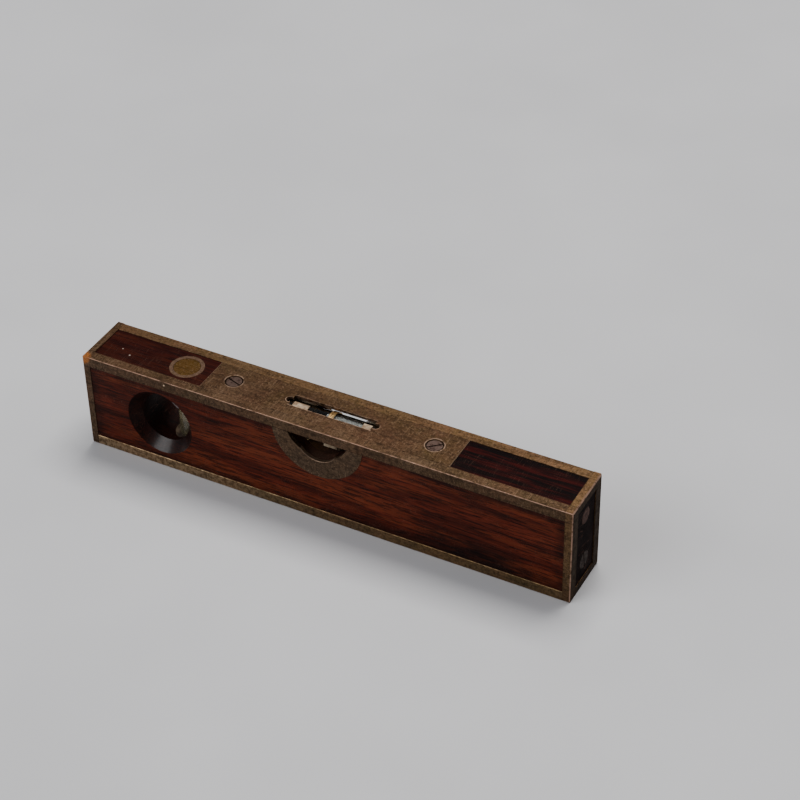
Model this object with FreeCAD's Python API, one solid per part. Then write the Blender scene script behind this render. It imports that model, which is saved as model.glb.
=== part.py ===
import FreeCAD, Part
import os

# Brass-bound rosewood spirit level.  Units are millimetres.
# Origin: centre of the bottom face.  X runs along the level, -Y is the near side, +Z is up.

LENGTH = 165.1
WIDTH = 20.0
HEIGHT = 34.0

# Brass binding
STRIP_T = 1.2
TOP_LEG = 3.4
SIDE_LEG = 3.6
FRAME_DEPTH = 2.5
FRAME_T = 1.2
END_T = 1.5
WINDOW_SIDE = 3.8
WINDOW_TOP = 2.9
OUTER_EASE = 0.3
BOTTOM_EASE = 0.6

# Wood
WOOD_DROP = 0.25
SIDE_DROP = 0.15
END_DROP = 0.3

# Top plate and its slot
PLATE_HALF = 42.25
PLATE_T = 1.0
SLOT_HALF_W = 2.4
SLOT_HALF_L = 13.9
SLOT_NECK_R = 1.25
SLOT_TIP_X = 14.5
SCREW_X = 34.0
SCREW_HEAD_R = 2.4
SCREW_DROP = 0.2
FLARE_R = 2.85
FLARE_DEEP = 0.35
SCREW_SINK = 1.5
SCREW_SHANK_R = 1.2
SCREW_LENGTH = 8.0
SCREW_SLOT_W = 0.45
SCREW_SLOT_DEEP = 0.6

# Level vial
VIAL_Z = 28.1
VIAL_R = 4.8
VIAL_BORE_R = 3.9
VIAL_HALF = 23.0
VIAL_END_WALL = 2.0
SIGHT_RING_R = 5.15
SIGHT_RING_W = 1.7
MORTISE_HALF_X = 25.0
MORTISE_HALF_Y = 5.6
MORTISE_FLOOR = 21.6
PLASTER_TOP = 31.2
SMEAR_R = 5.05
SMEAR_Y = 0.7
SMEAR_END_X = 13.2
SADDLE_R = 5.85
SADDLE_X = (-0.8, 3.6)
SPIRIT_R = 3.88
BUBBLE_R = 1.35
BUBBLE_HALF = 6.0
BUBBLE_REST_X = 4.0
CHANNEL_R = 1.5
CHANNEL_Z = 30.35

# Sight plates on the sides
LOBE_R = 15.3
LOBE_Z = 32.1
LOBE_T = 1.2
SIGHT_WIDE_R = 11.0
SIGHT_WIDE_Z = 35.0
SIGHT_LOW_R = 6.9
SIGHT_LOW_Z = 29.6

# Plumb hole and plumb vial
HOLE_X = -55.95
HOLE_Z = 16.95
HOLE_R = 8.5
HOLE_MOUTH_R = 11.5
HOLE_BEVEL = 3.4
PLUMB_X = -50.75
PLUMB_BORE_R = 5.3
PLUMB_FLOOR = 3.8
PLUMB_R = 3.9
PLUMB_IN_R = 3.1
PLUMB_BOTTOM = 4.4
PLUMB_TOP = 30.2
PLUMB_WALL = 1.6
PLUMB_CHANNEL_R = 1.9
PLUMB_BUBBLE_R = 1.75
PLUMB_BUBBLE_HALF = 3.2
PLUG_R = 4.25
PLUG_RING_R = 5.45
PLUG_T = 1.2

# Fasteners in the wooden end panels
END_PLUG_Z = 25.9
END_PLUG_R = 2.8
END_SCREW_Z = 9.0
END_SCREW_R = 2.85
END_SCREW_SINK = 1.7
END_SCREW_LENGTH = 9.0
END_SCREW_TURN = 8.0

BODY_END = LENGTH / 2.0
BODY_SIDE = WIDTH / 2.0
INNER_X = BODY_END - FRAME_DEPTH
TOP_WOOD = HEIGHT - WOOD_DROP
PANEL_HALF_Y = BODY_SIDE - TOP_LEG
STRIP_LOW = HEIGHT - SIDE_LEG
V = FreeCAD.Vector


def box(x0, x1, y0, y1, z0, z1):
    return Part.makeBox(x1 - x0, y1 - y0, z1 - z0, V(x0, y0, z0))


def rod(radius, length, base, direction):
    return Part.makeCylinder(radius, length, base, direction)


def fuse_all(shapes):
    result = shapes[0]
    for shape in shapes[1:]:
        result = result.fuse(shape)
    return result.removeSplitter()


def edges_where(shape, test):
    return [edge for edge in shape.Edges if test(edge.BoundBox)]


def along_x(bb, length):
    return bb.XLength > length and bb.YLength < 0.01 and bb.ZLength < 0.01


def near(value, target):
    return abs(value - target) < 0.02


def capsule(radius, half, base, axis):
    """A round-ended rod centred on base, whose tips are half away from it."""
    straight = half - radius
    start = base - axis * straight
    body = rod(radius, 2.0 * straight, start, axis)
    ends = [Part.makeSphere(radius, base + axis * side) for side in (-straight, straight)]
    return fuse_all([body] + ends)


def angle_strip(side, top):
    """One brass angle along a long edge; side is -1 or 1, top is True or False."""
    flat = box(-INNER_X, INNER_X, PANEL_HALF_Y, BODY_SIDE, 0, STRIP_T)
    upright = box(-INNER_X, INNER_X, BODY_SIDE - STRIP_T, BODY_SIDE, 0, SIDE_LEG)
    angle = flat.fuse(upright).removeSplitter()
    ease = OUTER_EASE if top else BOTTOM_EASE
    outer = edges_where(
        angle,
        lambda bb: along_x(bb, 50) and near(bb.YMax, BODY_SIDE) and near(bb.ZMax, 0),
    )
    angle = angle.makeFillet(ease, outer)
    tips = edges_where(
        angle,
        lambda bb: along_x(bb, 50)
        and (
            (near(bb.YMax, BODY_SIDE) and near(bb.ZMax, SIDE_LEG))
            or (near(bb.YMax, PANEL_HALF_Y) and near(bb.ZMax, 0))
        ),
    )
    angle = angle.makeChamfer(0.12, tips)
    if side < 0:
        angle = angle.mirror(V(0, 0, 0), V(0, 1, 0))
    if top:
        angle = angle.mirror(V(0, 0, HEIGHT / 2.0), V(0, 0, 1))
    return angle


def end_frame(side):
    """Brass frame over one end, with a window for the wooden end panel."""
    shell = box(INNER_X, BODY_END, -BODY_SIDE, BODY_SIDE, 0, HEIGHT)
    long_edges = edges_where(shell, lambda bb: bb.XLength > 1.0 and bb.ZMax < 1.0)
    shell = shell.makeFillet(BOTTOM_EASE, long_edges)
    rim = edges_where(shell, lambda bb: near(bb.XMin, BODY_END) and near(bb.XMax, BODY_END))
    shell = shell.makeChamfer(0.3, rim)
    inner = box(
        INNER_X - 1, BODY_END - END_T,
        -BODY_SIDE + FRAME_T, BODY_SIDE - FRAME_T, FRAME_T, HEIGHT - FRAME_T,
    )
    window = box(
        BODY_END - END_T - 1, BODY_END + 1,
        -BODY_SIDE + WINDOW_SIDE, BODY_SIDE - WINDOW_SIDE, WINDOW_TOP, HEIGHT - WINDOW_TOP,
    )
    frame = shell.cut(inner).cut(window)
    if side < 0:
        frame = frame.mirror(V(0, 0, 0), V(1, 0, 0))
    return frame


def sight_opening(y0, y1, grow=0.0):
    """The kidney-shaped window under the vial, running from y0 to y1."""
    depth = y1 - y0
    wide = rod(SIGHT_WIDE_R + grow, depth, V(0, y0, SIGHT_WIDE_Z), V(0, 1, 0))
    low = rod(SIGHT_LOW_R + grow, depth, V(0, y0, SIGHT_LOW_Z), V(0, 1, 0))
    limit = box(-20, 20, y0, y1, 10, STRIP_LOW)
    return wide.fuse(low).common(limit).removeSplitter()


def lobe_disc(radius, thick, y0):
    disc = rod(radius, thick, V(0, y0, LOBE_Z), V(0, 1, 0))
    return disc.common(box(-20, 20, y0, y0 + thick, 10, STRIP_LOW))


def sight_plate(side):
    """Half-round brass plate let in flush under the top strip."""
    y0 = BODY_SIDE - LOBE_T
    plate = lobe_disc(LOBE_R, LOBE_T, y0)
    plate = plate.cut(sight_opening(y0 - 1, BODY_SIDE + 1))
    rim = edges_where(
        plate, lambda bb: near(bb.YMin, BODY_SIDE) and near(bb.YMax, BODY_SIDE) and bb.ZMax < 30.3
    )
    plate = plate.makeChamfer(0.12, rim)
    if side < 0:
        plate = plate.mirror(V(0, 0, 0), V(0, 1, 0))
    return plate


def plumb_hole(side):
    """Bevelled mouth of the plumb hole on one side."""
    mouth = Part.makeCone(
        HOLE_R, HOLE_MOUTH_R, HOLE_BEVEL,
        V(HOLE_X, side * (BODY_SIDE - SIDE_DROP - HOLE_BEVEL), HOLE_Z), V(0, side, 0),
    )
    return mouth


def slotted_screw(head_r, sink, shank_r, length, turn):
    """Countersunk slotted wood screw, head at Z = 0, pointing down."""
    rim = rod(head_r, 0.25, V(0, 0, -0.25), V(0, 0, 1))
    cone = Part.makeCone(shank_r, head_r, sink - 0.25, V(0, 0, -sink), V(0, 0, 1))
    shank = rod(shank_r, length - sink - 2.0, V(0, 0, -length + 2.0), V(0, 0, 1))
    point = Part.makeCone(0.25, shank_r, 2.0, V(0, 0, -length), V(0, 0, 1))
    screw = fuse_all([rim, cone, shank, point])
    half = SCREW_SLOT_W / 2.0
    slot = box(-head_r - 1, head_r + 1, -half, half, -SCREW_SLOT_DEEP, 1)
    slot.rotate(V(0, 0, 0), V(0, 0, 1), turn)
    return screw.cut(slot)


def screw_pocket(head_r, sink, shank_r, length):
    rim = rod(head_r, 1.25, V(0, 0, -0.25), V(0, 0, 1))
    cone = Part.makeCone(shank_r, head_r, sink - 0.25, V(0, 0, -sink), V(0, 0, 1))
    shank = rod(shank_r, length - sink, V(0, 0, -length), V(0, 0, 1))
    return fuse_all([rim, cone, shank])


def plate_screw_pocket():
    """Clearance for one plate screw, flared at the mouth so the head sits a little low."""
    pocket = screw_pocket(SCREW_HEAD_R, SCREW_SINK, SCREW_SHANK_R, SCREW_LENGTH)
    pocket.translate(V(0, 0, -SCREW_DROP))
    flare = Part.makeCone(
        SCREW_HEAD_R, FLARE_R, FLARE_DEEP, V(0, 0, -FLARE_DEEP), V(0, 0, 1)
    )
    return pocket.fuse(flare).removeSplitter()


def at_top(shape, x):
    placed = shape.copy()
    placed.translate(V(x, 0, HEIGHT))
    return placed


def at_end(shape, side, z):
    placed = shape.copy()
    placed.rotate(V(0, 0, 0), V(0, 1, 0), 90)
    placed.translate(V(BODY_END - END_DROP, 0, z))
    if side < 0:
        placed.rotate(V(0, 0, z), V(0, 0, 1), 180)
    return placed


def plate_slot(z0, z1):
    """Slot with narrow round tips."""
    main = box(-SLOT_HALF_L, SLOT_HALF_L, -SLOT_HALF_W, SLOT_HALF_W, z0, z1)
    tips = []
    for side in (-1, 1):
        tips.append(rod(SLOT_NECK_R, z1 - z0, V(side * SLOT_TIP_X, 0, z0), V(0, 0, 1)))
    return fuse_all([main] + tips)


def top_plate():
    plate = box(-PLATE_HALF, PLATE_HALF, -PANEL_HALF_Y, PANEL_HALF_Y, HEIGHT - PLATE_T, HEIGHT)
    rim = edges_where(
        plate, lambda bb: near(bb.ZMin, HEIGHT) and near(bb.ZMax, HEIGHT)
    )
    plate = plate.makeChamfer(0.12, rim)
    plate = plate.cut(plate_slot(HEIGHT - PLATE_T - 1, HEIGHT + 1))
    pocket = plate_screw_pocket()
    for side in (-1, 1):
        plate = plate.cut(at_top(pocket, side * SCREW_X))
    return plate


def top_plate_screws():
    turns = ((-1, -17.0), (1, 41.0))
    screws = []
    for side, turn in turns:
        screw = slotted_screw(SCREW_HEAD_R, SCREW_SINK, SCREW_SHANK_R, SCREW_LENGTH, turn)
        screw.translate(V(0, 0, -SCREW_DROP))
        screws.append(at_top(screw, side * SCREW_X))
    return screws


def mortise():
    return box(
        -MORTISE_HALF_X, MORTISE_HALF_X, -MORTISE_HALF_Y, MORTISE_HALF_Y,
        MORTISE_FLOOR, HEIGHT,
    )


def rosewood_stock():
    """The wooden body with every recess and bore cut in it."""
    core = box(
        -INNER_X, INNER_X, -BODY_SIDE + SIDE_DROP, BODY_SIDE - SIDE_DROP,
        WOOD_DROP, TOP_WOOD,
    )
    tongue = box(
        -BODY_END + END_T, BODY_END - END_T,
        -BODY_SIDE + FRAME_T, BODY_SIDE - FRAME_T, FRAME_T, HEIGHT - FRAME_T,
    )
    panel = box(
        -BODY_END + END_DROP, BODY_END - END_DROP,
        -BODY_SIDE + WINDOW_SIDE, BODY_SIDE - WINDOW_SIDE, WINDOW_TOP, HEIGHT - WINDOW_TOP,
    )
    stock = fuse_all([core, tongue, panel])
    far = INNER_X + 0.001
    for side in (-1, 1):
        for top in (False, True):
            flat_y = sorted((side * PANEL_HALF_Y, side * (BODY_SIDE + 1)))
            wall_y = sorted((side * (BODY_SIDE - STRIP_T), side * (BODY_SIDE + 1)))
            if top:
                flat_z = (HEIGHT - STRIP_T, HEIGHT + 1)
                wall_z = (HEIGHT - SIDE_LEG, HEIGHT + 1)
            else:
                flat_z = (-1, STRIP_T)
                wall_z = (-1, SIDE_LEG)
            rebate = box(-far, far, flat_y[0], flat_y[1], flat_z[0], flat_z[1])
            wall = box(-far, far, wall_y[0], wall_y[1], wall_z[0], wall_z[1])
            stock = stock.cut(rebate.fuse(wall))
    stock = stock.cut(
        box(-PLATE_HALF, PLATE_HALF, -PANEL_HALF_Y, PANEL_HALF_Y, HEIGHT - PLATE_T, HEIGHT)
    )
    stock = stock.cut(mortise())
    stock = stock.cut(sight_opening(-BODY_SIDE - 1, BODY_SIDE + 1))
    for side in (-1, 1):
        y0 = BODY_SIDE - LOBE_T if side > 0 else -BODY_SIDE - 1
        stock = stock.cut(lobe_disc(LOBE_R, LOBE_T + 1, y0))
        stock = stock.cut(plumb_hole(side))
    stock = stock.cut(rod(HOLE_R, WIDTH + 2, V(HOLE_X, -BODY_SIDE - 1, HOLE_Z), V(0, 1, 0)))
    stock = stock.cut(rod(PLUMB_BORE_R, HEIGHT, V(PLUMB_X, 0, PLUMB_FLOOR), V(0, 0, 1)))
    stock = stock.cut(
        rod(PLUG_RING_R, PLUG_T + 1, V(PLUMB_X, 0, TOP_WOOD - PLUG_T), V(0, 0, 1))
    )
    pocket = plate_screw_pocket()
    for side in (-1, 1):
        stock = stock.cut(at_top(pocket, side * SCREW_X))
        end_pocket = screw_pocket(END_SCREW_R, END_SCREW_SINK, SCREW_SHANK_R, END_SCREW_LENGTH)
        stock = stock.cut(at_end(end_pocket, side, END_SCREW_Z))
        plug_pocket = rod(END_PLUG_R, 4.0, V(0, 0, -3.0), V(0, 0, 1))
        stock = stock.cut(at_end(plug_pocket, side, END_PLUG_Z))
    return stock.removeSplitter()


def level_glass():
    outer = capsule(VIAL_R, VIAL_HALF, V(0, 0, VIAL_Z), V(1, 0, 0))
    inner = capsule(VIAL_BORE_R, VIAL_HALF - VIAL_END_WALL, V(0, 0, VIAL_Z), V(1, 0, 0))
    return outer.cut(inner)


def level_spirit():
    half = VIAL_HALF - VIAL_END_WALL - 0.02
    body = capsule(SPIRIT_R, half, V(0, 0, VIAL_Z), V(1, 0, 0))
    channel = capsule(CHANNEL_R, half - 2.2, V(0, 0, CHANNEL_Z), V(1, 0, 0))
    return body.cut(channel)


def level_bubble():
    return capsule(BUBBLE_R, BUBBLE_HALF, V(BUBBLE_REST_X, 0, CHANNEL_Z), V(1, 0, 0))


def sight_ring():
    ring = rod(SIGHT_RING_R, SIGHT_RING_W, V(-SIGHT_RING_W / 2.0, 0, VIAL_Z), V(1, 0, 0))
    groove_half = 0.22
    groove = rod(
        SIGHT_RING_R + 1, 2 * groove_half, V(-groove_half, 0, VIAL_Z), V(1, 0, 0)
    ).cut(rod(SIGHT_RING_R - 0.15, 2, V(-1, 0, VIAL_Z), V(1, 0, 0)))
    bore = rod(VIAL_R + 0.02, 10, V(-5, 0, VIAL_Z), V(1, 0, 0))
    return ring.cut(groove).cut(bore)


def plaster_bed(side, inner_x):
    """Plaster packed round one end of the level vial, with a thin smear up its near side."""
    x0, x1 = sorted((side * inner_x, side * MORTISE_HALF_X))
    s0, s1 = sorted((side * inner_x, side * SMEAR_END_X))
    block = box(x0, x1, -MORTISE_HALF_Y, MORTISE_HALF_Y, MORTISE_FLOOR, PLASTER_TOP)
    block = block.cut(sight_opening(-BODY_SIDE, BODY_SIDE, 0.4))
    smear = rod(SMEAR_R, s1 - s0, V(s0, 0, VIAL_Z), V(1, 0, 0))
    smear = smear.common(box(s0, s1, -SMEAR_R, SMEAR_Y, PLASTER_TOP - 1.5, HEIGHT))
    block = block.fuse(smear).removeSplitter()
    vial = capsule(VIAL_R, VIAL_HALF, V(0, 0, VIAL_Z), V(1, 0, 0))
    block = block.cut(vial)
    solids = sorted(block.Solids, key=lambda solid: solid.Volume)
    return solids[-1]


def vial_saddle():
    """Small plaster pad that cradles the vial above the sight opening."""
    x0, x1 = SADDLE_X
    cradle = rod(SADDLE_R, x1 - x0, V(x0, 0, VIAL_Z), V(1, 0, 0))
    cradle = cradle.common(box(x0, x1, -4.6, 4.6, MORTISE_FLOOR, 25.6))
    stem = box(x0, x1, 0.4, 3.6, MORTISE_FLOOR, 24.5)
    pad = cradle.fuse(stem).removeSplitter()
    pad = pad.cut(rod(VIAL_R + 0.04, 20, V(-10, 0, VIAL_Z), V(1, 0, 0)))
    ring_room = SIGHT_RING_W / 2.0 + 0.05
    return pad.cut(rod(SIGHT_RING_R + 0.05, 2 * ring_room, V(-ring_room, 0, VIAL_Z), V(1, 0, 0)))


def plumb_glass():
    mid = V(PLUMB_X, 0, (PLUMB_TOP + PLUMB_BOTTOM) / 2.0)
    half = (PLUMB_TOP - PLUMB_BOTTOM) / 2.0
    outer = capsule(PLUMB_R, half, mid, V(0, 0, 1))
    inner = capsule(PLUMB_IN_R, half - PLUMB_WALL, mid, V(0, 0, 1))
    return outer.cut(inner)


def plumb_spirit():
    mid = V(PLUMB_X, 0, (PLUMB_TOP + PLUMB_BOTTOM) / 2.0)
    half = (PLUMB_TOP - PLUMB_BOTTOM) / 2.0 - PLUMB_WALL - 0.02
    body = capsule(PLUMB_IN_R - 0.02, half, mid, V(0, 0, 1))
    channel = capsule(PLUMB_CHANNEL_R, half - 0.6, mid, V(0, 0, 1))
    return body.cut(channel)


PLUMB_BUBBLE_TOP = PLUMB_TOP - PLUMB_WALL - 0.9
PLUMB_BUBBLE_Z = PLUMB_BUBBLE_TOP - PLUMB_BUBBLE_HALF


def plumb_bubble():
    return capsule(PLUMB_BUBBLE_R, PLUMB_BUBBLE_HALF, V(PLUMB_X, 0, PLUMB_BUBBLE_Z), V(0, 0, 1))


def plumb_collar(z0, z1):
    """Plaster ring between the plumb vial and its bore."""
    ring = rod(PLUMB_BORE_R, z1 - z0, V(PLUMB_X, 0, z0), V(0, 0, 1))
    mid = V(PLUMB_X, 0, (PLUMB_TOP + PLUMB_BOTTOM) / 2.0)
    half = (PLUMB_TOP - PLUMB_BOTTOM) / 2.0
    return ring.cut(capsule(PLUMB_R, half, mid, V(0, 0, 1)))


def plumb_plug():
    plug = rod(PLUG_R, PLUG_T, V(PLUMB_X, 0, TOP_WOOD - PLUG_T), V(0, 0, 1))
    rim = edges_where(plug, lambda bb: near(bb.ZMin, TOP_WOOD) and near(bb.ZMax, TOP_WOOD))
    return plug.makeChamfer(0.15, rim)


def plumb_plug_ring():
    ring = rod(PLUG_RING_R, PLUG_T, V(PLUMB_X, 0, TOP_WOOD - PLUG_T), V(0, 0, 1))
    return ring.cut(rod(PLUG_R, PLUG_T + 2, V(PLUMB_X, 0, TOP_WOOD - PLUG_T - 1), V(0, 0, 1)))


def end_screws():
    screws = []
    for side in (-1, 1):
        screw = slotted_screw(
            END_SCREW_R, END_SCREW_SINK, SCREW_SHANK_R, END_SCREW_LENGTH, END_SCREW_TURN
        )
        screws.append(at_end(screw, side, END_SCREW_Z))
    return screws


def end_plugs():
    plugs = []
    for side in (-1, 1):
        plug = rod(END_PLUG_R, 3.0, V(0, 0, -3.0), V(0, 0, 1))
        rim = edges_where(plug, lambda bb: near(bb.ZMin, 0) and near(bb.ZMax, 0))
        plugs.append(at_end(plug.makeChamfer(0.2, rim), side, END_PLUG_Z))
    return plugs


def main():
    nodes = {
        "rosewood_stock": rosewood_stock(),
        "front_top_angle": angle_strip(-1, True),
        "rear_top_angle": angle_strip(1, True),
        "front_bottom_angle": angle_strip(-1, False),
        "rear_bottom_angle": angle_strip(1, False),
        "left_end_frame": end_frame(-1),
        "right_end_frame": end_frame(1),
        "front_sight_plate": sight_plate(-1),
        "rear_sight_plate": sight_plate(1),
        "top_plate": top_plate(),
        "top_plate_screws": Part.makeCompound(top_plate_screws()),
        "level_vial_glass": level_glass(),
        "level_spirit": level_spirit(),
        "level_bubble": level_bubble(),
        "level_sight_ring": sight_ring(),
        "level_plaster_left": plaster_bed(-1, 8.0),
        "level_plaster_right": plaster_bed(1, 10.4),
        "level_vial_saddle": vial_saddle(),
        "plumb_vial_glass": plumb_glass(),
        "plumb_spirit": plumb_spirit(),
        "plumb_bubble": plumb_bubble(),
        "plumb_plaster_top": plumb_collar(25.6, PLUMB_TOP),
        "plumb_plaster_bottom": plumb_collar(PLUMB_FLOOR, 9.3),
        "plumb_plug": plumb_plug(),
        "plumb_plug_ring": plumb_plug_ring(),
        "end_screws": Part.makeCompound(end_screws()),
        "end_plugs": Part.makeCompound(end_plugs()),
    }
    os.makedirs("parts", exist_ok=True)
    for name, shape in nodes.items():
        shape.exportStep("parts/" + name + ".step")
        bounds = shape.BoundBox
        print(name, shape.isValid(), len(shape.Solids), round(shape.Volume, 2))
        print("   ", [round(v, 2) for v in (bounds.XMin, bounds.XMax, bounds.YMin)],
              [round(v, 2) for v in (bounds.YMax, bounds.ZMin, bounds.ZMax)])


main()
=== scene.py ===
import math

import bmesh
import bpy
from mathutils import Matrix, Vector


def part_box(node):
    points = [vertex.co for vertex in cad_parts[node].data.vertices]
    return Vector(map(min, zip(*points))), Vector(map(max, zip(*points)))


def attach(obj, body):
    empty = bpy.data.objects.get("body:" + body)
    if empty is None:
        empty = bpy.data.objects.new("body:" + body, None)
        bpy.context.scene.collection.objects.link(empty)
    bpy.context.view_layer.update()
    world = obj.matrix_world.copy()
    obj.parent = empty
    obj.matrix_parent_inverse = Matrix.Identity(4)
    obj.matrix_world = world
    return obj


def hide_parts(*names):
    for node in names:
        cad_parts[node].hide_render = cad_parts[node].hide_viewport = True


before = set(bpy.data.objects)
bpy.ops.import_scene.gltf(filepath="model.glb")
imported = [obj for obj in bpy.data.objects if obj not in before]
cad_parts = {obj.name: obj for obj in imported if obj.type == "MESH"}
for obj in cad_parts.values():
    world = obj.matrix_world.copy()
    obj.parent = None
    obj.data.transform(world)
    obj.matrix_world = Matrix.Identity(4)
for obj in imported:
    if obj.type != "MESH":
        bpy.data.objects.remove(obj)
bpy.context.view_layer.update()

# ---------------------------------------------------------------- named values (metres)
MM = 0.001
HALF_LENGTH = 82.55 * MM
HALF_WIDTH = 10.0 * MM
HEIGHT = 34.0 * MM
PANEL_HALF_Y = 6.6 * MM
SIDE_LEG = 3.6 * MM
PLATE_HALF = 42.25 * MM
FRAME_X = 80.05 * MM
VIAL_Z = 28.1 * MM
BORE_R = 3.9 * MM
FILL_END_WALL = 1.1 * MM
BUBBLE_GAP = 0.03 * MM
BUBBLE_HALF_WIDTH = 2.7 * MM
BUBBLE_DEPTH = 1.5 * MM
PLUMB_WALL = 0.8 * MM
PLUMB_END_WALL = 1.6 * MM
PLUMB_BUBBLE_R = 2.3 * MM
STAIN_X = (30.0 * MM, 74.0 * MM)
HOLE = (-55.95 * MM, 16.95 * MM)
SPECKS = ((-73.4, -1.0, 0.28), (-69.7, -2.9, 0.36))
SCREW_X = 34.0 * MM
SCREW_HALO_R = 3.0 * MM
SCREW_CUP_R = (2.72 * MM, 2.85 * MM)
SLOT_HALF_Y = 2.4 * MM
SLOT_HALF_X = 13.9 * MM
SLOT_TIP_X = 14.5 * MM
SLOT_TIP_R = 1.25 * MM
OPENING_Z = 29.6 * MM
OPENING_R = 6.9 * MM
WORN_CORNER = (-82.4 * MM, -9.9 * MM, 33.9 * MM)
WORN_CORNER_R = 3.2 * MM
NICK = (-52.9 * MM, -9.95 * MM, 32.7 * MM)
NICK_R = 0.4 * MM
SPECK_Z = 33.75 * MM

CAMERA_POS = (0.2649, -0.4448, 0.4440)
CAMERA_AZ = 28.556
CAMERA_EL = 38.113
CAMERA_ROLL = -1.210
CAMERA_LENS = 100.35
CAMERA_SENSOR = 36.0
CAMERA_CLIP = 0.01

FLOOR_HALF = 3.0
WORLD_COLOUR = (0.86, 0.88, 0.92, 1.0)
WORLD_STRENGTH = 0.22

# Each inner body's index is relative to the body round it.
GLASS_INDEX = 1.47
SPIRIT_INDEX = 0.925
BUBBLE_INDEX = 0.92

BRASS_METAL = 0.85

# sRGB colours of grime, wear, painted shade and painted highlight on the brass.
SEAM_DARK = (22, 15, 11)
END_PAINTED_SHADE = (14, 10, 8)
PALE_RUB_AND_HIGHLIGHT = (196, 156, 134)


# ---------------------------------------------------------------- node helpers
class Nodes:
    """Small builder round one material's node tree."""

    def __init__(self, name):
        self.material = bpy.data.materials.new(name)
        self.material.use_nodes = True
        self.tree = self.material.node_tree
        self.tree.nodes.clear()
        self.out = self.add("ShaderNodeOutputMaterial")
        self.shader = self.add("ShaderNodeBsdfPrincipled")
        self.link(self.shader.outputs[0], self.out.inputs["Surface"])
        self.coord = self.add("ShaderNodeTexCoord").outputs["Object"]
        split = self.add("ShaderNodeSeparateXYZ")
        self.link(self.coord, split.inputs[0])
        self.x, self.y, self.z = split.outputs

    def add(self, kind, **props):
        node = self.tree.nodes.new(kind)
        for key, value in props.items():
            setattr(node, key, value)
        return node

    def link(self, source, target):
        self.tree.links.new(source, target)

    def feed(self, socket, value):
        """Links a socket or sets a plain value."""
        if hasattr(value, "is_output"):
            self.link(value, socket)
        else:
            socket.default_value = value

    def math(self, op, a, b=0.0):
        node = self.add("ShaderNodeMath", operation=op)
        for socket, value in zip(node.inputs, (a, b)):
            self.feed(socket, value)
        return node.outputs[0]

    def ramp01(self, value, low, high, out_low=0.0, out_high=1.0):
        """Smooth step from out_low at low to out_high at high."""
        node = self.add("ShaderNodeMapRange", interpolation_type="SMOOTHSTEP")
        self.feed(node.inputs["Value"], value)
        node.inputs["From Min"].default_value = low
        node.inputs["From Max"].default_value = high
        node.inputs["To Min"].default_value = out_low
        node.inputs["To Max"].default_value = out_high
        return node.outputs[0]

    def mapped(self, scale=(1, 1, 1), turn=(0, 0, 0), shift=(0, 0, 0)):
        """Object coordinates scaled, turned in degrees and shifted."""
        node = self.add("ShaderNodeMapping")
        self.link(self.coord, node.inputs["Vector"])
        node.inputs["Scale"].default_value = scale
        node.inputs["Rotation"].default_value = [math.radians(angle) for angle in turn]
        node.inputs["Location"].default_value = shift
        return node.outputs[0]

    def noise(self, vector, scale, detail=4.0, rough=0.55, twist=0.0):
        node = self.add("ShaderNodeTexNoise")
        self.feed(node.inputs["Vector"], vector)
        node.inputs["Scale"].default_value = scale
        node.inputs["Detail"].default_value = detail
        node.inputs["Roughness"].default_value = rough
        node.inputs["Distortion"].default_value = twist
        return node.outputs["Fac"]

    def cells(self, vector, scale):
        node = self.add("ShaderNodeTexVoronoi")
        self.feed(node.inputs["Vector"], vector)
        node.inputs["Scale"].default_value = scale
        return node.outputs["Distance"]

    def mix(self, factor, first, second):
        node = self.add("ShaderNodeMix", data_type="RGBA")
        self.feed(node.inputs["Factor"], factor)
        self.feed(node.inputs["A"], colour(first))
        self.feed(node.inputs["B"], colour(second))
        return node.outputs["Result"]

    def bump(self, height, distance, strength):
        node = self.add("ShaderNodeBump")
        self.feed(node.inputs["Height"], height)
        node.inputs["Distance"].default_value = distance
        node.inputs["Strength"].default_value = strength
        return node.outputs["Normal"]

    def set(self, **values):
        """Feeds the shader's inputs, named with underscores for spaces."""
        for key, value in values.items():
            self.feed(self.shader.inputs[key.replace("_", " ")], value)

    def near_edge(self, a, a_at, b, b_at, inner, outer):
        """1 close to the line where |a| = a_at and b = b_at, falling to 0 at outer."""
        da = self.math("ABSOLUTE", self.math("SUBTRACT", self.math("ABSOLUTE", a), a_at))
        db = self.math("ABSOLUTE", self.math("SUBTRACT", b, b_at))
        return self.ramp01(self.math("MAXIMUM", da, db), inner, outer, 1.0, 0.0)

    def spot(self, centre, radius):
        """1 at centre, falling to 0 at radius."""
        node = self.add("ShaderNodeVectorMath", operation="DISTANCE")
        self.link(self.coord, node.inputs[0])
        node.inputs[1].default_value = centre
        return self.ramp01(node.outputs["Value"], radius * 0.5, radius, 1.0, 0.0)

    def distance(self, a, b):
        """Length of the pair (a, b)."""
        squares = self.math("ADD", self.math("MULTIPLY", a, a), self.math("MULTIPLY", b, b))
        return self.math("SQRT", squares)

    def near_plane(self, a, at, inner, outer):
        """1 where |a| is close to at, falling to 0 at outer."""
        da = self.math("ABSOLUTE", self.math("SUBTRACT", self.math("ABSOLUTE", a), at))
        return self.ramp01(da, inner, outer, 1.0, 0.0)


def colour(value):
    """sRGB 0-255 triple to a linear colour; sockets pass through."""
    if hasattr(value, "is_output"):
        return value
    linear = []
    for part in value:
        part = part / 255.0
        linear.append(part / 12.92 if part <= 0.04045 else ((part + 0.055) / 1.055) ** 2.4)
    return (*linear, 1.0)


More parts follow.
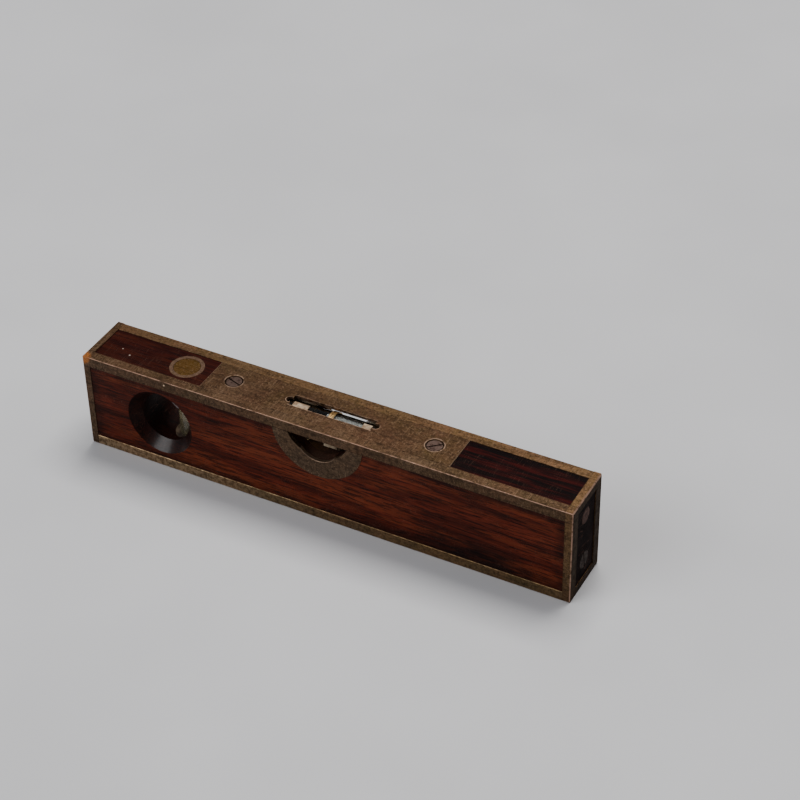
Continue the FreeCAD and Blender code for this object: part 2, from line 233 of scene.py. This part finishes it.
def scratches(n, layers, width=0.012):
    """Fine straight scratches in several directions, as a 0-1 mask."""
    total = None
    for turn, scale, seed in layers:
        vector = n.mapped((scale, scale * 0.045, scale * 0.3), (0, 0, turn), (seed, seed * 0.7, 0))
        value = n.noise(vector, 1.0, 1.5, 0.4, 0.15)
        line = n.math("ABSOLUTE", n.math("SUBTRACT", value, 0.5))
        mask = n.ramp01(line, 0.0, width, 1.0, 0.0)
        gate = n.ramp01(n.noise(n.coord, 90.0 + seed * 7, 2.0), 0.5, 0.62)
        mask = n.math("MULTIPLY", mask, gate)
        total = mask if total is None else n.math("MAXIMUM", total, mask)
    return total


# ---------------------------------------------------------------- brass
def patina(n, base, warm, olive, dark, wear):
    """Mottled old brass: its colour, and the masks that its relief uses."""
    broad = n.noise(n.coord, 70.0, 3.0, 0.5, 0.3)
    speck = n.noise(n.coord, 1500.0, 5.0, 0.7)
    fine = n.noise(n.mapped(shift=(0.4, 0.2, 0.7)), 700.0, 6.0, 0.7)
    tint = n.mix(n.ramp01(broad, 0.36, 0.64), base, warm)
    patch = n.ramp01(n.noise(n.mapped(shift=(0.3, 0.1, 0.2)), 120.0, 5.0, 0.65, 0.6), 0.48, 0.7)
    tint = n.mix(n.math("MULTIPLY", patch, 0.45), tint, olive)
    rubbed = n.noise(n.mapped((70, 620, 620), shift=(0.7, 0.3, 0.4)), 1.0, 4.0, 0.6, 0.4)
    tint = n.mix(n.ramp01(rubbed, 0.5, 0.66, 0.0, 0.45), tint, dark)
    light = n.ramp01(n.noise(n.mapped(shift=(0.6, 0.8, 0.2)), 48.0, 3.0, 0.5), 0.5, 0.7)
    tint = n.mix(n.math("MULTIPLY", light, 0.3 * wear), tint, (140, 112, 86))
    tint = n.mix(n.ramp01(fine, 0.44, 0.62, 0.0, 0.55), tint, dark)
    tint = n.mix(n.ramp01(speck, 0.48, 0.64, 0.0, 0.6), tint, dark)
    bright = n.ramp01(n.noise(n.mapped(shift=(0.9, 0.5, 0.1)), 1600.0, 4.0, 0.75), 0.52, 0.66)
    tint = n.mix(n.math("MULTIPLY", bright, 0.5 * wear), tint, (150, 120, 92))
    pits = n.ramp01(n.cells(n.coord, 900.0), 0.08, 0.2, 1.0, 0.0)
    pit_gate = n.ramp01(n.noise(n.coord, 130.0, 2.0), 0.5, 0.6)
    pits = n.math("MULTIPLY", pits, pit_gate)
    tint = n.mix(n.math("MULTIPLY", pits, 0.7), tint, (20, 13, 10))
    lines = scratches(n, ((12, 1200, 1.3), (-38, 950, 2.7), (64, 1100, 4.1), (88, 900, 5.9)), 0.016)
    tint = n.mix(n.math("MULTIPLY", lines, 0.28 * wear), tint, (172, 142, 114))
    return tint, speck, fine, pits, lines


def edge_wear_and_highlight(n):
    """Rubbed bright edges of the binding, partly a painted highlight along the edges, as a ragged mask.
    """
    ragged = n.ramp01(n.noise(n.coord, 420.0, 4.0, 0.7), 0.3, 0.56)
    top_edge = n.near_edge(n.y, HALF_WIDTH, n.z, HEIGHT, 0.08 * MM, 0.24 * MM)
    end_edge = n.near_edge(n.x, HALF_LENGTH, n.z, HEIGHT, 0.15 * MM, 0.5 * MM)
    post_y = n.near_plane(n.y, HALF_WIDTH, 0.15 * MM, 0.4 * MM)
    post_x = n.near_plane(n.x, HALF_LENGTH, 0.15 * MM, 0.4 * MM)
    post = n.math("MULTIPLY", post_x, post_y)
    low_edge = n.near_edge(n.y, HALF_WIDTH, n.z, 0.0, 0.2 * MM, 0.8 * MM)
    rub_and_highlight = n.math("MAXIMUM", n.math("MAXIMUM", top_edge, end_edge), post)
    rub_and_highlight = n.math("MAXIMUM", rub_and_highlight, n.math("MULTIPLY", low_edge, 0.3))
    return n.math("MULTIPLY", rub_and_highlight, ragged)


def seams(n):
    """Dark joint lines on the top: along the panels and at the end frames."""
    seam = n.near_plane(n.y, PANEL_HALF_Y, 0.03 * MM, 0.16 * MM)
    level_top = n.ramp01(n.z, HEIGHT - 0.6 * MM, HEIGHT - 0.3 * MM)
    seam = n.math("MULTIPLY", seam, level_top)
    seam_x = n.near_plane(n.x, FRAME_X, 0.03 * MM, 0.16 * MM)
    return n.math("MAXIMUM", n.math("MULTIPLY", seam, 0.7), n.math("MULTIPLY", seam_x, 0.35))


def binding_marks(n, tint, speck, on_end):
    """Painted shade on the sides and ends, rubbed edges that are partly painted highlight, joint lines
    and two local marks.
    """
    # Painted shade on the end faces.
    tint = n.mix(n.math("MULTIPLY", on_end, 0.8), tint, END_PAINTED_SHADE)
    # Painted shade on the sides, which catch less light than the top.
    on_side = n.ramp01(n.math("ABSOLUTE", n.y), 9.85 * MM, 9.97 * MM)
    tint = n.mix(n.math("MULTIPLY", on_side, 0.35), tint, (26, 19, 14))
    # Rubbed edges, partly a painted highlight.
    tint = n.mix(n.math("MULTIPLY", edge_wear_and_highlight(n), 0.75), tint, PALE_RUB_AND_HIGHLIGHT)
    tint = n.mix(seams(n), tint, SEAM_DARK)
    leg_low = n.near_plane(n.z, HEIGHT - SIDE_LEG, 0.02 * MM, 0.3 * MM)
    tint = n.mix(n.math("MULTIPLY", leg_low, 0.6), tint, SEAM_DARK)
    corner = n.math("MULTIPLY", n.spot(WORN_CORNER, WORN_CORNER_R), n.ramp01(speck, 0.36, 0.56))
    tint = n.mix(n.math("MULTIPLY", corner, 0.8), tint, (196, 118, 52))
    return n.mix(n.spot(NICK, NICK_R), tint, (205, 180, 150))


def painted_lip_highlight(n, tint):
    """Painted highlight along the low arc of the side sight window's lip."""
    reach = n.distance(n.x, n.math("SUBTRACT", n.z, OPENING_Z))
    lip = n.near_plane(reach, OPENING_R + 0.06 * MM, 0.06 * MM, 0.16 * MM)
    lip = n.math("MULTIPLY", lip, n.ramp01(n.z, 26 * MM, 27 * MM, 0.4, 0.0))
    return n.mix(lip, tint, (176, 146, 124))


def plate_marks_and_highlights(n, tint):
    """Painted highlights on the rims round the screws and along the slot, painted shade in the screw
    countersinks, and pale ends of the plate.
    """
    around = n.distance(n.math("SUBTRACT", n.math("ABSOLUTE", n.x), SCREW_X), n.y)
    # Painted highlight on the rim round each screw.
    halo = n.near_plane(around, SCREW_HALO_R, 0.06 * MM, 0.28 * MM)
    broken = n.ramp01(n.noise(n.coord, 700.0, 2.0), 0.36, 0.52)
    tint = n.mix(n.math("MULTIPLY", n.math("MULTIPLY", halo, broken), 0.6), tint, (176, 146, 124))
    # Painted shade in the countersink round each screw.
    cup = n.ramp01(around, *SCREW_CUP_R, 1.0, 0.0)
    tint = n.mix(n.math("MULTIPLY", cup, 0.75), tint, (24, 15, 11))
    # Painted highlight along the slot's rim and round its tips, stronger on the front side.
    along = n.near_plane(n.y, SLOT_HALF_Y, 0.05 * MM, 0.22 * MM)
    inside = n.ramp01(n.math("ABSOLUTE", n.x), SLOT_HALF_X, SLOT_HALF_X + 0.3 * MM, 1.0, 0.0)
    along = n.math("MULTIPLY", along, inside)
    tip = n.distance(n.math("SUBTRACT", n.math("ABSOLUTE", n.x), SLOT_TIP_X), n.y)
    tip = n.near_plane(tip, SLOT_TIP_R, 0.06 * MM, 0.24 * MM)
    slot_rim = n.math("MULTIPLY", n.math("MAXIMUM", along, tip), broken)
    front_half = n.ramp01(n.y, -0.5 * MM, 0.8 * MM, 0.75, 0.3)
    tint = n.mix(n.math("MULTIPLY", slot_rim, front_half), tint, (206, 172, 146))
    rim = n.near_plane(n.x, PLATE_HALF, 0.05 * MM, 0.3 * MM)
    return n.mix(n.math("MULTIPLY", rim, 0.5), tint, (170, 142, 120))


def brass(name, base, warm, olive, dark, rough=0.42, edges=True, wear=1.0, plate=False,
          left_pale=0.0, opening=False):
    """Old brass: mottled patina, stains, pits, scratches and rubbed edges, with painted shade on the
    ends and sides and painted highlights on edges, sight window lip and plate.
    """
    n = Nodes(name)
    tint, speck, fine, pits, lines = patina(n, base, warm, olive, dark, wear)
    height = n.math("MULTIPLY", speck, 0.4)
    height = n.math("SUBTRACT", height, n.math("MULTIPLY", pits, 0.8))
    height = n.math("SUBTRACT", height, n.math("MULTIPLY", lines, 0.3))
    roughness = n.ramp01(fine, 0.3, 0.7, rough - 0.06, rough + 0.16)
    metal = BRASS_METAL
    if edges:
        on_end = n.ramp01(n.math("ABSOLUTE", n.x), 82.35 * MM, 82.5 * MM)
        tint = binding_marks(n, tint, speck, on_end)
        metal = n.math("MULTIPLY", metal, n.math("SUBTRACT", 1.0, n.math("MULTIPLY", on_end, 0.9)))
        roughness = n.math("ADD", roughness, n.math("MULTIPLY", on_end, 0.35))
    if left_pale:
        # Lighter towards the left.
        left = n.ramp01(n.x, -66 * MM, 14 * MM, left_pale, 0.0)
        left = n.math("MULTIPLY", left, n.ramp01(fine, 0.4, 0.6, 1.0, 0.2))
        tint = n.mix(left, tint, (205, 172, 134))
    if opening:
        tint = painted_lip_highlight(n, tint)
    if plate:
        tint = plate_marks_and_highlights(n, tint)
    n.set(Base_Color=tint, Metallic=metal, Roughness=roughness, Specular_IOR_Level=0.1)
    n.set(Normal=n.bump(height, 0.08 * MM, 0.5))
    return n.material


# ---------------------------------------------------------------- rosewood
def top_panels(n, tint, on_top, streak, grain):
    """The whole top is darkened as a painted dark reflection; the left panel stays deep red-brown and
    the right one is black with red streaks.
    """
    right = n.ramp01(n.x, 20 * MM, 40 * MM)
    # Painted dark reflection over the whole top.
    tint = n.mix(n.math("MULTIPLY", on_top, 0.72), tint, (22, 4, 5))
    red = n.ramp01(streak, 0.42, 0.6)
    red = n.math("MULTIPLY", red, n.ramp01(grain, 0.4, 0.6, 1.0, 0.3))
    black_panel = n.mix(red, (6, 3, 4), (58, 12, 10))
    return n.mix(n.math("MULTIPLY", n.math("MULTIPLY", on_top, right), 0.9), tint, black_panel)


def wood_grime(n, tint, side, dust):
    """Grime against the brass, and an old dark stain low on the right of the front."""
    low = n.ramp01(n.z, SIDE_LEG, SIDE_LEG + 3.0 * MM, 1.0, 0.0)
    high = n.ramp01(n.z, HEIGHT - SIDE_LEG - 3.0 * MM, HEIGHT - SIDE_LEG)
    post = n.ramp01(n.math("ABSOLUTE", n.x), FRAME_X - 4.0 * MM, FRAME_X)
    grime = n.math("MAXIMUM", n.math("MAXIMUM", low, high), post)
    grime = n.math("MULTIPLY", grime, n.ramp01(dust, 0.3, 0.6, 0.25, 1.0))
    grime = n.math("MULTIPLY", grime, side)
    tint = n.mix(n.math("MULTIPLY", grime, 0.75), tint, (14, 6, 5))
    stain_x = n.math("MULTIPLY", n.ramp01(n.x, STAIN_X[0], STAIN_X[0] + 14 * MM),
                     n.ramp01(n.x, STAIN_X[1] - 16 * MM, STAIN_X[1], 1.0, 0.0))
    stain_z = n.ramp01(n.z, 8 * MM, 15 * MM, 1.0, 0.0)
    ragged = n.ramp01(n.noise(n.mapped((50, 200, 200)), 1.0, 4.0, 0.6), 0.3, 0.55)
    stain = n.math("MULTIPLY", n.math("MULTIPLY", stain_x, stain_z), ragged)
    front = n.ramp01(n.y, -9.0 * MM, -8.0 * MM, 1.0, 0.0)
    stain = n.math("MULTIPLY", stain, front)
    return n.mix(n.math("MULTIPLY", stain, 0.85), tint, (15, 10, 10))


def cut_faces(n, tint, side, hole_x, in_face):
    """Painted shade, near-black, in the plumb hole and the mortise, and painted light towards the
    mortise's floor.
    """
    hole_r = n.distance(hole_x, n.math("SUBTRACT", n.z, HOLE[1]))
    in_hole = n.math("MULTIPLY", n.ramp01(hole_r, 11.5 * MM, 11.8 * MM, 1.0, 0.0), in_face)
    # Painted shade in the plumb hole.
    tint = n.mix(n.math("MULTIPLY", in_hole, 0.86), tint, (14, 7, 7))
    in_cut = n.ramp01(n.math("ABSOLUTE", n.x), 25.5 * MM, 26.5 * MM, 1.0, 0.0)
    in_cut = n.math("MULTIPLY", in_cut, n.math("MULTIPLY", side, in_face))
    # Painted shade in the mortise.
    tint = n.mix(n.math("MULTIPLY", in_cut, 0.8), tint, (16, 7, 5))
    # Painted light, lighter towards the mortise's floor.
    floor_painted_light = n.math("MULTIPLY", in_cut, n.ramp01(n.z, 22 * MM, 26 * MM, 0.5, 0.0))
    return n.mix(floor_painted_light, tint, (80, 60, 50)), in_hole


def rosewood():
    n = Nodes("rosewood_waxed")
    bend = n.noise(n.mapped((14, 90, 90)), 1.0, 3.0, 0.5)
    streak = n.noise(n.mapped((28, 420, 420)), 1.0, 6.0, 0.6, 0.6)
    grain = n.noise(n.mapped((120, 2000, 2000), shift=(0.2, 0.4, 0.6)), 1.0, 4.0, 0.6, 0.4)
    wide = n.noise(n.mapped((18, 150, 150), shift=(0.5, 0.2, 0.9)), 1.0, 3.0, 0.5, 0.8)
    tint = n.mix(n.ramp01(streak, 0.32, 0.68), (56, 19, 11), (96, 37, 22))
    tint = n.mix(n.ramp01(wide, 0.44, 0.64, 0.0, 0.7), tint, (116, 53, 30))
    tint = n.mix(n.ramp01(bend, 0.5, 0.68, 0.0, 0.4), tint, (38, 13, 9))
    tint = n.mix(n.ramp01(grain, 0.48, 0.62, 0.0, 0.75), tint, (20, 8, 7))
    pores = n.ramp01(n.noise(n.mapped((260, 4200, 4200)), 1.0, 2.0, 0.5), 0.58, 0.68)
    tint = n.mix(n.math("MULTIPLY", pores, 0.7), tint, (6, 2, 2))
    on_top = n.ramp01(n.z, HEIGHT - 0.7 * MM, HEIGHT - 0.4 * MM)
    side = n.math("SUBTRACT", 1.0, on_top)
    dust = n.noise(n.coord, 150.0, 4.0, 0.6)
    tint = top_panels(n, tint, on_top, streak, grain)
    tint = wood_grime(n, tint, side, dust)
    ends = n.ramp01(n.math("ABSOLUTE", n.x), 81 * MM, 82 * MM)
    # Painted shade on the end faces of the stock.
    tint = n.mix(n.math("MULTIPLY", ends, 0.88), tint, (6, 2, 2))
    hole_x = n.math("SUBTRACT", n.x, HOLE[0])
    in_face = n.ramp01(n.math("ABSOLUTE", n.y), 9.7 * MM, 9.82 * MM, 1.0, 0.0)
    tint, in_hole = cut_faces(n, tint, side, hole_x, in_face)
    # Scratches and a few pale specks.
    lines = scratches(n, ((8, 1300, 3.1), (-24, 1500, 6.3), (82, 1700, 8.9)), 0.009)
    tint = n.mix(n.math("MULTIPLY", lines, 0.3), tint, (120, 84, 70))
    for x, y, size in SPECKS:
        speck = n.spot((x * MM, y * MM, SPECK_Z), size * MM)
        tint = n.mix(n.math("MULTIPLY", speck, 0.75), tint, (190, 176, 164))
    height = n.math("SUBTRACT", n.math("MULTIPLY", grain, 0.3), n.math("MULTIPLY", pores, 0.8))
    height = n.math("SUBTRACT", height, n.math("MULTIPLY", lines, 0.4))
    rough = n.ramp01(dust, 0.3, 0.7, 0.36, 0.52)
    rough = n.math("ADD", rough, n.math("MULTIPLY", ends, 0.4))
    n.set(Base_Color=tint, Roughness=rough, Specular_IOR_Level=0.05)
    # The bevel round the plumb hole is polished, but its left part stays dull.
    bevel = n.math("MULTIPLY", in_hole, n.ramp01(n.math("ABSOLUTE", n.y), 6.3 * MM, 6.5 * MM))
    gloss = n.math("MULTIPLY", bevel, n.ramp01(hole_x, -8 * MM, -2 * MM, 0.05, 0.6))
    n.set(Coat_Weight=gloss, Coat_Roughness=0.26)
    n.set(Normal=n.bump(height, 0.1 * MM, 0.45))
    return n.material


# ---------------------------------------------------------------- glass, spirit, bubble, plaster
def clear(name, ior, tint, rough=0.0, through=1.0, rear_painted_shade=False):
    """Clear solid that lets light through to what lies inside it."""
    n = Nodes(name)
    haze = n.noise(n.coord, 300.0, 3.0)
    shade = n.mix(n.ramp01(haze, 0.35, 0.7), tint, [part * 0.93 for part in tint])
    if rear_painted_shade:
        # Painted shade: the rear flank is darkened.
        rear = n.math("MULTIPLY", n.ramp01(n.y, 0.2 * MM, 1.0 * MM), n.ramp01(n.x, -30 * MM, -25 * MM))
        shade = n.mix(n.math("MULTIPLY", rear, 0.94), shade, (30, 28, 30))
    n.set(Base_Color=shade, Roughness=rough)
    n.shader.inputs["Transmission Weight"].default_value = through
    n.shader.inputs["IOR"].default_value = ior
    clear_path = n.add("ShaderNodeBsdfTransparent")
    n.link(shade, clear_path.inputs["Color"])
    path = n.add("ShaderNodeLightPath")
    mixer = n.add("ShaderNodeMixShader")
    n.link(path.outputs["Is Shadow Ray"], mixer.inputs[0])
    n.link(n.shader.outputs[0], mixer.inputs[1])
    n.link(clear_path.outputs[0], mixer.inputs[2])
    n.link(mixer.outputs[0], n.out.inputs["Surface"])
    return n.material


def plaster(name, light, mid, dirt):
    n = Nodes(name)
    mottle = n.noise(n.coord, 380.0, 6.0, 0.65)
    broad = n.noise(n.coord, 140.0, 3.0, 0.5)
    tint = n.mix(n.ramp01(mottle, 0.35, 0.65), light, mid)
    tint = n.mix(n.ramp01(broad, 0.5, 0.64, 0.0, 0.8), tint, dirt)
    pits = n.ramp01(n.cells(n.coord, 900.0), 0.1, 0.3, 1.0, 0.0)
    tint = n.mix(n.math("MULTIPLY", pits, 0.5), tint, (70, 52, 38))
    n.set(Base_Color=tint, Roughness=0.9)
    n.set(Normal=n.bump(n.math("SUBTRACT", mottle, pits), 0.25 * MM, 0.8))
    return n.material


def screw_metal(name, base, dark, metal=0.9, rough=0.3):
    n = Nodes(name)
    fine = n.noise(n.coord, 900.0, 5.0, 0.6)
    tint = n.mix(n.ramp01(fine, 0.4, 0.66), base, dark)
    n.set(Base_Color=tint, Metallic=metal, Roughness=n.ramp01(fine, 0.3, 0.7, rough, rough + 0.2))
    n.shader.inputs["Specular IOR Level"].default_value = 0.15
    n.set(Normal=n.bump(fine, 0.08 * MM, 0.5))
    return n.material


def floor_material():
    n = Nodes("pale_floor")
    soft = n.noise(n.coord, 9.0, 3.0)
    tint = n.mix(n.ramp01(soft, 0.3, 0.7), (214, 214, 217), (222, 222, 225))
    n.set(Base_Color=tint, Roughness=0.6)
    return n.material


# ---------------------------------------------------------------- pieces
def mesh_object(name, verts, faces, smooth=True):
    mesh = bpy.data.meshes.new(name)
    mesh.from_pydata(verts, [], faces)
    mesh.validate()
    obj = bpy.data.objects.new(name, mesh)
    bpy.context.collection.objects.link(obj)
    if smooth:
        mesh.polygons.foreach_set("use_smooth", [True] * len(mesh.polygons))
    return obj


def lofted(name, sections, axis):
    """Closed tube through rings of equal length; each section is (along, ring of (u, v))."""
    verts, faces = [], []
    count = len(sections[0][1])
    for along, ring in sections:
        for u, v in ring:
            verts.append((along, u, v) if axis == "X" else (u, v, along))
    for row in range(len(sections) - 1):
        for step in range(count):
            a = row * count + step
            b = row * count + (step + 1) % count
            faces.append((a, b, b + count, a + count))
    faces.append(tuple(reversed(range(count))))
    last = (len(sections) - 1) * count
    faces.append(tuple(range(last, last + count)))
    obj = mesh_object(name, verts, faces)
    face_outward(obj)
    return obj


def face_outward(obj):
    bm = bmesh.new()
    bm.from_mesh(obj.data)
    bmesh.ops.recalc_face_normals(bm, faces=bm.faces)
    bm.to_mesh(obj.data)
    bm.free()


def capsule_sections(low, high, radius, centre, steps=14, ring=48):
    """Sections of a round-ended rod from low to high, centred on centre = (u, v)."""
    profile = []
    for index in range(steps + 1):
        angle = math.pi / 2 * index / steps
        along = low + radius * (1 - math.cos(angle))
        profile.append((along, max(radius * math.sin(angle), radius * 0.02)))
    for index in range(steps, -1, -1):
        angle = math.pi / 2 * index / steps
        along = high - radius * (1 - math.cos(angle))
        profile.append((along, max(radius * math.sin(angle), radius * 0.02)))
    sections = []
    for along, size in profile:
        points = []
        for step in range(ring):
            turn = 2 * math.pi * step / ring
            points.append((centre[0] + size * math.cos(turn), centre[1] + size * math.sin(turn)))
        sections.append((along, points))
    return sections


def bubble_sections(low, high, top, half_width, depth, curve_r, steps=14, ring=40):
    """Bubble pressed under a round bore: crowned top, shallow underside."""
    length = high - low
    sections = []
    total = 2 * steps
    for index in range(total + 1):
        share = index / total
        along = low + length * (0.5 - 0.5 * math.cos(math.pi * share))
        end = min(along - low, high - along) / (half_width * 0.9)
        size = math.sqrt(max(1 - (1 - min(end, 1.0)) ** 2, 0.0006))
        points = []
        for step in range(ring):
            turn = 2 * math.pi * step / ring
            u = half_width * size * math.cos(turn)
            crown = curve_r - math.sqrt(curve_r ** 2 - u ** 2)
            lift = math.sin(turn)
            v = top - crown - depth * size * (1 - lift) * 0.5
            points.append((u, v))
        sections.append((along, points))
    return sections


def add_vials(mats):
    """Solid glass, spirit and bubble bodies that stand for the CAD's hollow ones."""
    low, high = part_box("level_vial_glass")
    glass = lofted("level_vial_clear", capsule_sections(low[0], high[0], (high[2] - low[2]) / 2,
                   (0.0, VIAL_Z)), "X")
    spirit = lofted("level_spirit_fill", capsule_sections(low[0] + FILL_END_WALL,
                    high[0] - FILL_END_WALL, BORE_R, (0.0, VIAL_Z)), "X")
    b_low, b_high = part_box("level_bubble")
    crown_r = BORE_R - BUBBLE_GAP
    bubble = lofted("level_air_bubble", bubble_sections(b_low[0], b_high[0], VIAL_Z + crown_r,
                    BUBBLE_HALF_WIDTH, BUBBLE_DEPTH, crown_r), "X")
    plumb_low, plumb_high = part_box("plumb_vial_glass")
    centre = ((plumb_low[0] + plumb_high[0]) / 2, 0.0)
    radius = (plumb_high[0] - plumb_low[0]) / 2
    plumb_glass = lofted("plumb_vial_clear", capsule_sections(plumb_low[2], plumb_high[2], radius,
                         centre), "Z")
    plumb_spirit = lofted("plumb_spirit_fill", capsule_sections(plumb_low[2] + PLUMB_END_WALL,
                          plumb_high[2] - PLUMB_END_WALL, radius - PLUMB_WALL, centre), "Z")
    pb_low, pb_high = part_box("plumb_bubble")
    plumb_bubble = lofted("plumb_air_bubble", capsule_sections(pb_low[2], pb_high[2],
                          PLUMB_BUBBLE_R, centre), "Z")
    plan = (
        (glass, "level_vial_glass", "level", "vial_glass", mats["glass"]),
        (spirit, "level_spirit", "level", "spirit", mats["spirit"]),
        (bubble, "level_bubble", "level_bubble", "bubble", mats["bubble"]),
        (plumb_glass, "plumb_vial_glass", "level", "vial_glass", mats["glass"]),
        (plumb_spirit, "plumb_spirit", "level", "spirit", mats["plumb_spirit"]),
        (plumb_bubble, "plumb_bubble", "plumb_bubble", "bubble", mats["bubble"]),
    )
    for piece, node, body, slot, material in plan:
        piece.data.materials.append(material)
        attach(piece, body)
        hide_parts(node)


def dress(mats):
    """Gives every CAD node its material."""
    by_node = {
        "rosewood_stock": "wood",
        "front_top_angle": "binding", "rear_top_angle": "binding_rear",
        "front_bottom_angle": "binding_low", "rear_bottom_angle": "binding_low",
        "left_end_frame": "binding", "right_end_frame": "binding_rear",
        "front_sight_plate": "lobe", "rear_sight_plate": "lobe", "top_plate": "plate",
        "top_plate_screws": "steel_screw", "level_sight_ring": "ring",
        "level_plaster_left": "plaster", "level_plaster_right": "plaster",
        "level_vial_saddle": "plaster_lit", "plumb_plaster_top": "plaster_darker",
        "plumb_plaster_bottom": "plaster_darker", "plumb_plug": "plug", "plumb_plug_ring": "plug_ring",
        "end_screws": "brass_screw", "end_plugs": "end_plug",
    }
    for node, key in by_node.items():
        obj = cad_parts[node]
        for slot in obj.material_slots:
            slot.material = mats[key]
        if not obj.material_slots:
            obj.data.materials.append(mats[key])


def make_materials():
    """Every material by its key; brass colours are base, warm, olive and dark."""
    return {
        "binding": brass("binding_brass_front", (92, 70, 50), (104, 76, 55), (82, 68, 38), (36, 25, 17)),
        "binding_rear": brass("binding_brass_rear", (118, 90, 60), (128, 94, 66), (102, 84, 44),
                              (42, 30, 18)),
        "binding_low": brass("binding_brass_low", (132, 108, 76), (150, 118, 82), (120, 104, 56),
                             (52, 40, 28), left_pale=0.42),
        "lobe": brass("sight_plate_brass", (78, 62, 48), (88, 68, 51), (68, 58, 38), (34, 25, 19),
                      edges=False, wear=0.6, opening=True),
        "plate": brass("top_plate_brass", (92, 69, 46), (100, 71, 52), (80, 66, 36), (36, 24, 16),
                       plate=True),
        "end_plug": screw_metal("end_plug_brass", (78, 46, 34), (44, 27, 20), 0.25, 0.6),
        "plug": brass("plug_brass", (92, 68, 24), (102, 72, 34), (84, 68, 22), (66, 46, 18),
                      edges=False),
        "plug_ring": brass("plug_ring_brass", (118, 94, 76), (126, 98, 80), (100, 84, 60),
                           (70, 52, 40), edges=False),
        "ring": brass("sight_ring_brass", (190, 150, 90), (214, 176, 120), (170, 140, 84),
                      (110, 80, 44), rough=0.3, edges=False, wear=0.4),
        "brass_screw": screw_metal("end_screw_brass", (52, 34, 25), (26, 17, 13), 0.25, 0.6),
        "steel_screw": screw_metal("plate_screw_steel", (118, 96, 86), (66, 50, 44)),
        "wood": rosewood(),
        "plaster": plaster("bed_plaster", (206, 184, 156), (140, 112, 86), (70, 50, 36)),
        # Lighter copy of the bed plaster: painted light on the vial's saddle.
        "plaster_lit": plaster("saddle_plaster", (226, 208, 180), (186, 164, 134), (140, 116, 90)),
        # Darker copy of the bed plaster for the plumb vial.
        "plaster_darker": plaster("darker_plaster", (120, 100, 78), (78, 60, 44), (44, 32, 24)),
        "glass": clear("vial_glass_clear", GLASS_INDEX, (232, 238, 236), 0.07),
        "spirit": clear("vial_spirit_clear", SPIRIT_INDEX, (196, 190, 174), 0.03),
        "bubble": clear("vial_air_bubble", BUBBLE_INDEX, (204, 208, 228), 0.35, 0.3,
                        rear_painted_shade=True),
        "plumb_spirit": clear("plumb_spirit_cloudy", SPIRIT_INDEX, (150, 134, 108), 0.12, 0.6),
    }


# ---------------------------------------------------------------- stage
def stage():
    half = FLOOR_HALF
    corners = [(-half, -half, 0), (half, -half, 0), (half, half, 0), (-half, half, 0)]
    floor = mesh_object("floor", corners, [(0, 1, 2, 3)], smooth=False)
    floor.data.materials.append(floor_material())


def area_light(name, place, target, size, power, tint):
    data = bpy.data.lights.new(name, "AREA")
    data.shape = "RECTANGLE"
    data.size, data.size_y = size
    data.energy = power
    data.color = tint
    lamp = bpy.data.objects.new(name, data)
    bpy.context.collection.objects.link(lamp)
    lamp.location = place
    direction = Vector(target) - Vector(place)
    lamp.rotation_euler = direction.to_track_quat("-Z", "Y").to_euler()


def lights():
    world = bpy.data.worlds.new("studio")
    world.use_nodes = True
    background = world.node_tree.nodes["Background"]
    background.inputs["Color"].default_value = WORLD_COLOUR
    background.inputs["Strength"].default_value = WORLD_STRENGTH
    bpy.context.scene.world = world
    area_light("key", place=(0.05, 0.42, 1.15), target=(0, 0, 0), size=(0.7, 0.5), power=12.0,
               tint=(1.0, 0.98, 0.95))
    area_light("fill", place=(-0.5, -0.75, 0.8), target=(0, 0, 0.01), size=(0.8, 0.6), power=6.0,
               tint=(0.98, 0.99, 1.0))


def camera():
    az, el, roll = (math.radians(value) for value in (CAMERA_AZ, CAMERA_EL, CAMERA_ROLL))
    back = Vector((math.sin(az) * math.cos(el), -math.cos(az) * math.cos(el), math.sin(el)))
    right = Vector((math.cos(az), math.sin(az), 0.0))
    up = back.cross(right)
    across = right * math.cos(roll) + up * math.sin(roll)
    upward = up * math.cos(roll) - right * math.sin(roll)
    data = bpy.data.cameras.new("camera")
    data.lens = CAMERA_LENS
    data.sensor_width = CAMERA_SENSOR
    data.clip_start = CAMERA_CLIP
    obj = bpy.data.objects.new("camera", data)
    bpy.context.collection.objects.link(obj)
    turn = Matrix((across, upward, back)).transposed().to_4x4()
    obj.matrix_world = Matrix.Translation(Vector(CAMERA_POS)) @ turn
    bpy.context.scene.camera = obj


materials = make_materials()
dress(materials)
add_vials(materials)
stage()
lights()
camera()
